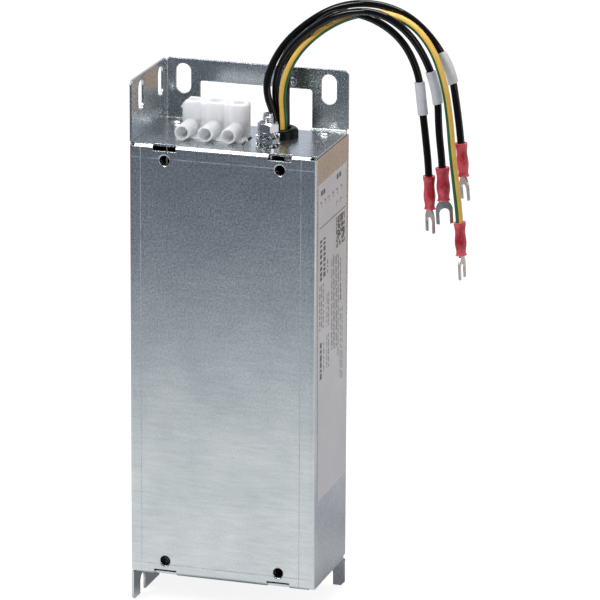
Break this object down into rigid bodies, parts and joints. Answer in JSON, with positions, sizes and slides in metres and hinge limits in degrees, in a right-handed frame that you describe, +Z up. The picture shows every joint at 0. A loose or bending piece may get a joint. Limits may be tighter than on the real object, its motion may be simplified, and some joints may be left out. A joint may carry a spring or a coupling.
{
  "type": "line filter",
  "caption": "Three-phase line filter in a tall folded steel housing with slotted flanges, a deck-top terminal block, an earth stud and flying leads with fork terminals.",
  "frame": {"origin": "middle of the rear face that lies on the wall, half way up and across the box", "axes": "+X to the right seen from the front, +Y into the wall, +Z up"},
  "size_m": [0.138, 0.047, 0.2603],
  "materials": {
    "zinc_sheet": "satin hot-dip galvanised sheet",
    "zinc_plate": "bright zinc plating",
    "rivet_alloy": "bare alloy",
    "white_polyamide": "moulded, fine matt",
    "black_rubber": "moulded, satin",
    "black_pvc": "extruded, soft sheen",
    "earth_pvc": "green and yellow stripes, soft sheen",
    "marker_pvc": "white sleeve, matt",
    "red_vinyl": "translucent red vinyl",
    "tinned_copper": "dull tin plating",
    "label_foil": "silver polyester foil",
    "board_laminate": "solder-masked laminate",
    "nylon_pillar": "nylon",
    "fish_paper": "insulating paper",
    "ferrite": "coated core",
    "enamel_wire": "enamelled copper",
    "capacitor_case": "cast case",
    "small_case": "cast case",
    "resistor_body": "lacquered",
    "inner_wire": "black insulation",
    "inner_earth_wire": "green and yellow insulation"
  },
  "bodies": {
    "root": {"housing": "zinc_sheet", "back_cover": "zinc_sheet", "plain_washers": "zinc_plate", "toothed_washers": "zinc_plate", "spring_washer": "zinc_plate", "earth_nut": "zinc_plate", "earth_stud": "zinc_plate", "board_screws": "zinc_plate", "terminal_screws": "zinc_plate", "terminal_clamps": "zinc_plate", "deck_rivets": "rivet_alloy", "floor_rivets": "rivet_alloy", "terminal_body": "white_polyamide", "grommet": "black_rubber", "lead_1": "black_pvc", "lead_2": "black_pvc", "lead_3": "black_pvc", "lead_earth": "earth_pvc", "marker_1": "marker_pvc", "marker_2": "marker_pvc", "marker_3": "marker_pvc", "crimp_sleeve_1": "red_vinyl", "crimp_sleeve_2": "red_vinyl", "crimp_sleeve_3": "red_vinyl", "crimp_sleeve_earth": "red_vinyl", "fork_1": "tinned_copper", "fork_2": "tinned_copper", "fork_3": "tinned_copper", "fork_earth": "tinned_copper", "earth_lug": "tinned_copper", "side_label": "label_foil", "circuit_board": "board_laminate", "board_standoffs": "nylon_pillar", "insulation_sheet": "fish_paper", "choke_core": "ferrite", "choke_winding_1": "enamel_wire", "choke_winding_2": "enamel_wire", "choke_winding_3": "enamel_wire", "x_capacitor_1": "capacitor_case", "x_capacitor_2": "capacitor_case", "x_capacitor_3": "capacitor_case", "y_capacitors": "small_case", "bleed_resistors": "resistor_body", "input_wires": "inner_wire", "lead_stubs": "inner_wire", "earth_wire": "inner_earth_wire"}
  },
  "joints": []
}
